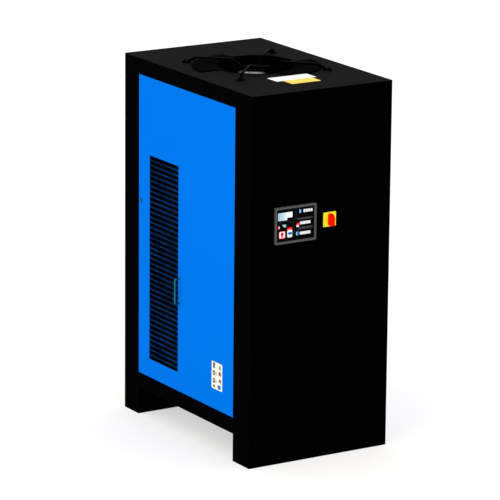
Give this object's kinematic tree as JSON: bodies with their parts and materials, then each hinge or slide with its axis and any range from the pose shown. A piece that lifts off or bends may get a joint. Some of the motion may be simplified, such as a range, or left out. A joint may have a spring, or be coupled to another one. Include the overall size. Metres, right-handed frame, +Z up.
{
  "type": "refrigerated air dryer",
  "caption": "Floor-standing refrigerated compressed-air dryer: sheet-metal cabinet with slotted side panel, top exhaust fan, controls, and the refrigeration circuit inside.",
  "frame": {"origin": "on the floor under the centre of the cabinet", "axes": "+Z up, the front with the controls faces -Y, +X is to the right seen from the front"},
  "size_m": [0.721, 1.085, 1.588],
  "materials": {
    "black_paint": "fine texture powder coat",
    "top_paint": "textured powder coat",
    "blue_paint": "satin powder coat",
    "black_steel": "gloss black enamel",
    "zinc": "zinc plated",
    "chrome": "polished",
    "cast": "die cast",
    "fan_black": "satin",
    "bezel": "fine grain",
    "overlay": "printed film",
    "display": "clear window",
    "key_white": "printed film",
    "yellow": "satin",
    "red": "satin",
    "light_grey": "moulded",
    "dark_plastic": "moulded",
    "compressor_paint": "gloss enamel",
    "rubber": "moulded",
    "fins": "black coated fins",
    "copper": "drawn tube",
    "foam": "closed cell insulation",
    "pipe_steel": "primed",
    "blue_enamel": "enamel",
    "brass": "machined",
    "button_blue": "moulded",
    "label_white": "printed film",
    "label_amber": "printed film",
    "label_cream": "printed film"
  },
  "bodies": {
    "cabinet": {"base_frame": "black_paint", "front_cover": "black_paint", "rear_cover": "black_paint", "top_cover": "top_paint", "lock_keepers": "black_paint", "cover_screws": "black_steel", "fan_ring": "fan_black", "fan_guard": "black_steel", "guard_wires": "black_steel", "guard_bolts": "black_steel", "fan_motor": "dark_plastic", "controller_bezel": "bezel", "controller_overlay": "overlay", "controller_case": "dark_plastic", "display_window": "display", "switch_plate": "yellow", "switch_body": "light_grey", "electrical_plate": "zinc", "contactor": "light_grey", "terminal_rail": "light_grey", "cable_gland": "dark_plastic", "compressor": "compressor_paint", "compressor_mounts": "rubber", "terminal_cover": "dark_plastic", "condenser_core": "fins", "condenser_bends": "copper", "condenser_frame": "black_steel", "heat_exchanger": "foam", "exchanger_stand": "zinc", "separator": "foam", "air_inlet_pipe": "pipe_steel", "air_outlet_pipe": "pipe_steel", "air_inlet_port": "cast", "air_outlet_port": "cast", "receiver": "compressor_paint", "filter_drier": "blue_enamel", "hot_gas_valve": "brass", "pressure_switch": "dark_plastic", "discharge_line": "copper", "liquid_line": "copper", "suction_line": "copper", "drain_line": "zinc", "drain_valve": "brass", "drain_unit": "dark_plastic", "drain_outlet": "zinc", "caution_plate": "label_white", "notice_plate": "label_amber"},
    "fan_rotor": {"fan_rotor": "fan_black"},
    "key_upper": {"key_upper": "key_white"},
    "key_lower": {"key_lower": "key_white"},
    "switch_handle": {"switch_handle": "red"},
    "drain_lever": {"drain_lever": "red"},
    "drain_button": {"drain_button": "button_blue"},
    "left_panel": {"side_panel_left": "blue_paint", "panel_handle_left": "chrome", "symbol_plate": "label_cream"},
    "left_lock": {"panel_lock_left": "zinc"},
    "right_panel": {"side_panel_right": "blue_paint", "panel_handle_right": "chrome"},
    "right_lock": {"panel_lock_right": "zinc"}
  },
  "joints": [
    {"name": "fan_spin", "type": "hinge", "parent": "cabinet", "child": "fan_rotor", "pos_m": [0, 0, 1.5], "axis": [0, 0, 1], "continuous": true},
    {"name": "key_upper_press", "type": "slide", "parent": "cabinet", "child": "key_upper", "axis": [0, 1, 0], "range_m": [0, 0.0008], "stiffness_N_per_m": 600},
    {"name": "key_lower_press", "type": "slide", "parent": "cabinet", "child": "key_lower", "axis": [0, 1, 0], "range_m": [0, 0.0008], "stiffness_N_per_m": 600},
    {"name": "main_switch", "type": "hinge", "parent": "cabinet", "child": "switch_handle", "pos_m": [0.038, -0.5115, 1.0115], "axis": [0, -1, 0], "range_deg": [0, 90]},
    {"name": "drain_valve_turn", "type": "hinge", "parent": "cabinet", "child": "drain_lever", "pos_m": [0.15, -0.2, 0.26], "axis": [0, 0, 1], "range_deg": [0, 90]},
    {"name": "drain_test_press", "type": "slide", "parent": "cabinet", "child": "drain_button", "axis": [0, 0, -1], "range_m": [0, 0.0025], "stiffness_N_per_m": 900},
    {"name": "left_panel_off", "type": "slide", "parent": "cabinet", "child": "left_panel", "axis": [-1, 0, 0], "range_m": [0, 0.3]},
    {"name": "left_lock_turn", "type": "hinge", "parent": "left_panel", "child": "left_lock", "pos_m": [-0.3375, 0.375, 0.948], "axis": [-1, 0, 0], "range_deg": [0, 90]},
    {"name": "right_panel_off", "type": "slide", "parent": "cabinet", "child": "right_panel", "axis": [1, 0, 0], "range_m": [0, 0.3]},
    {"name": "right_lock_turn", "type": "hinge", "parent": "right_panel", "child": "right_lock", "pos_m": [0.3375, 0.375, 0.948], "axis": [1, 0, 0], "range_deg": [0, 90]}
  ]
}
